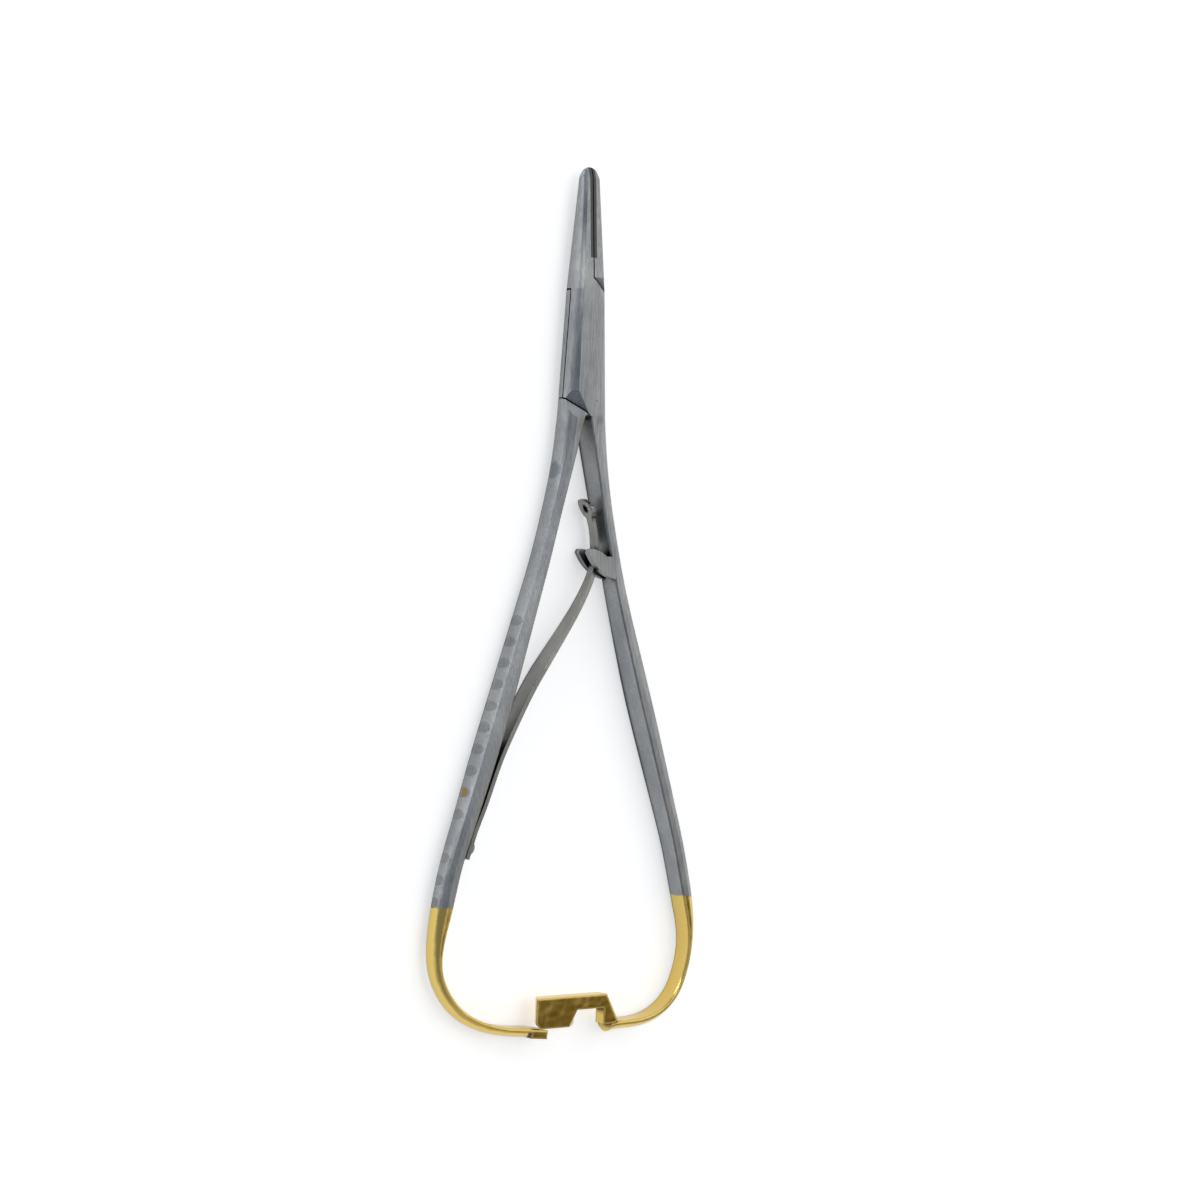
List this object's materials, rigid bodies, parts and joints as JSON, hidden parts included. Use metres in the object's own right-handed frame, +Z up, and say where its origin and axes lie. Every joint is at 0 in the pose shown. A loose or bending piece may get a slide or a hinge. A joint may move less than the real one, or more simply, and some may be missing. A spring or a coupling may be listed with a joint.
{
  "type": "needle holder",
  "caption": "Surgical needle holder with a box lock, straight jaws with hard inserts, a leaf spring between bowed handles with notched backs, and a hook catch.",
  "frame": {"origin": "on the pivot axis of the box lock, in the plane of the back face of the box that the instrument rests on", "axes": "+X across the handles toward the one that carries the fork and the hook plate, +Y toward the tip of the jaws, +Z up through the thickness, out of the front face of the box"},
  "size_m": [0.074, 0.2001, 0.0068],
  "materials": {
    "forged_steel": "satin, with the ends of the handles gold plated",
    "hard_insert": "matt",
    "spring_steel": "satin"
  },
  "bodies": {
    "female_half": {"female_half": "forged_steel", "left_jaw_insert": "hard_insert", "box_pin": "forged_steel"},
    "male_half": {"male_half": "forged_steel", "right_jaw_insert": "hard_insert", "spring_rivet": "spring_steel"},
    "leaf_spring": {"leaf_spring": "spring_steel"}
  },
  "joints": [
    {"name": "jaw_pivot", "type": "hinge", "parent": "female_half", "child": "male_half", "pos_m": [0, 0, 0.0034], "axis": [0, 0, -1], "range_deg": [0, 12]},
    {"name": "spring_flex", "type": "hinge", "parent": "male_half", "child": "leaf_spring", "pos_m": [-0.0278, -0.1142, 0.0034], "axis": [0, 0, -1], "range_deg": [0, 9], "deforming": ["leaf_spring"]}
  ],
  "couplings": [
    {"joint": "spring_flex", "follows": "jaw_pivot", "ratio": 0.75}
  ]
}
